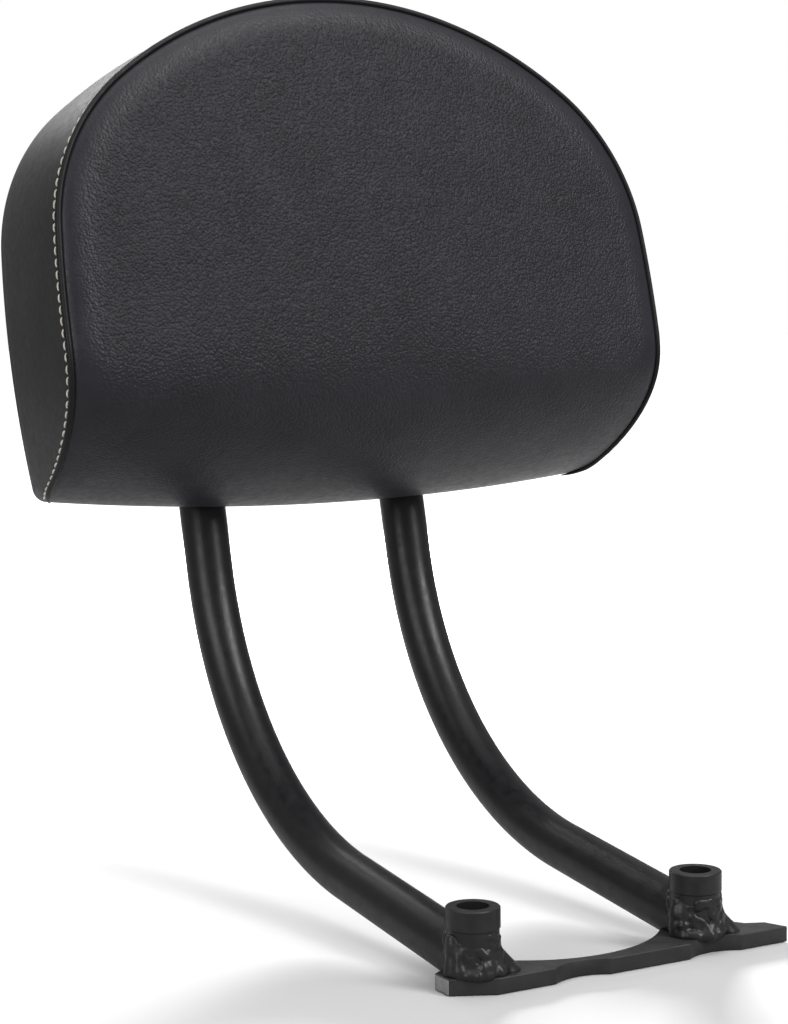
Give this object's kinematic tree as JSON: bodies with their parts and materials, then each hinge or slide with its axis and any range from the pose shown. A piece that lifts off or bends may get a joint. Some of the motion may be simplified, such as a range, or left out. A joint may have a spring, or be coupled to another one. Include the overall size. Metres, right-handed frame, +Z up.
{
  "type": "passenger backrest",
  "caption": "Motorcycle passenger backrest with a padded D-shaped cushion on two bent tubes and a notched base plate with bolt bushes.",
  "frame": {"origin": "midway between the axes of the two bolt bores, on the underside of the base plate", "axes": "+Z up along the bolt bores, +X from one bolt bore to the other towards the plate's long arm, +Y to the rear of the motorcycle, the way the tubes run out"},
  "size_m": [0.2822, 0.2782, 0.3743],
  "materials": {
    "satin_black_paint": "satin",
    "zinc_steel": "satin",
    "black_plastic": "matte",
    "plywood": "matte",
    "foam": "matte",
    "black_vinyl": "satin"
  },
  "bodies": {
    "root": {"base_plate": "satin_black_paint", "left_bush": "satin_black_paint", "right_bush": "satin_black_paint", "left_tube": "satin_black_paint", "right_tube": "satin_black_paint", "left_foot_weld": "satin_black_paint", "right_foot_weld": "satin_black_paint", "lower_cross_plate": "satin_black_paint", "upper_cross_plate": "satin_black_paint", "screw_low_left": "zinc_steel", "screw_low_right": "zinc_steel", "screw_up_left": "zinc_steel", "screw_up_right": "zinc_steel", "washer_low_left": "zinc_steel", "washer_low_right": "zinc_steel", "washer_up_left": "zinc_steel", "washer_up_right": "zinc_steel", "tee_nut_low_left": "zinc_steel", "tee_nut_low_right": "zinc_steel", "tee_nut_up_left": "zinc_steel", "tee_nut_up_right": "zinc_steel", "left_end_cap": "black_plastic", "right_end_cap": "black_plastic", "backrest_board": "plywood", "foam_core": "foam", "rear_cover": "black_vinyl", "side_band": "black_vinyl", "front_cover": "black_vinyl", "seam_welt": "black_vinyl"}
  },
  "joints": []
}
